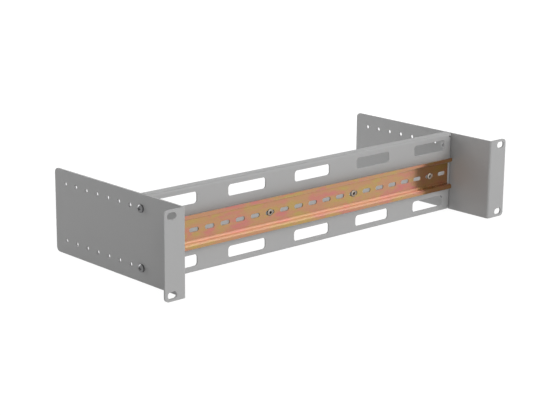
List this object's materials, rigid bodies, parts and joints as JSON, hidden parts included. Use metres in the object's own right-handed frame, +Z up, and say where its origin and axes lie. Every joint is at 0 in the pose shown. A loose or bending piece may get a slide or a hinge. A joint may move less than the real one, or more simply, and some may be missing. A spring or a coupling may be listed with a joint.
{
  "type": "rack-mount din rail panel",
  "caption": "Two-unit 19-inch rack panel with folded side brackets and a set-back slotted sheet that carries a top-hat rail for clip-on devices.",
  "frame": {"origin": "centre of the four rack slots, on the plane of the ears' rear faces, which seat on the rack's uprights", "axes": "+X to the right seen from the front, +Y to the rear, +Z up"},
  "size_m": [0.4826, 0.208, 0.0882],
  "materials": {
    "bracket_coating": "light grey powder coat, fine texture, satin",
    "panel_coating": "light grey powder coat, fine texture, satin",
    "yellow_zinc": "zinc-plated steel with yellow iridescent passivation",
    "rivet_aluminium": "plain, slightly satin",
    "mandrel_steel": "plain drawn steel, broken end",
    "zinc_steel": "bright zinc plate"
  },
  "bodies": {
    "root": {"left_side_bracket": "bracket_coating", "right_side_bracket": "bracket_coating", "mounting_panel": "panel_coating", "din_rail": "yellow_zinc", "rail_rivet_1": "rivet_aluminium", "rail_rivet_mandrel_1": "mandrel_steel", "rail_rivet_2": "rivet_aluminium", "rail_rivet_mandrel_2": "mandrel_steel", "rail_rivet_3": "rivet_aluminium", "rail_rivet_mandrel_3": "mandrel_steel", "rail_rivet_4": "rivet_aluminium", "rail_rivet_mandrel_4": "mandrel_steel", "left_lower_panel_screw": "zinc_steel", "left_lower_panel_nut": "zinc_steel", "left_upper_panel_screw": "zinc_steel", "left_upper_panel_nut": "zinc_steel", "right_lower_panel_screw": "zinc_steel", "right_lower_panel_nut": "zinc_steel", "right_upper_panel_screw": "zinc_steel", "right_upper_panel_nut": "zinc_steel"}
  },
  "joints": []
}
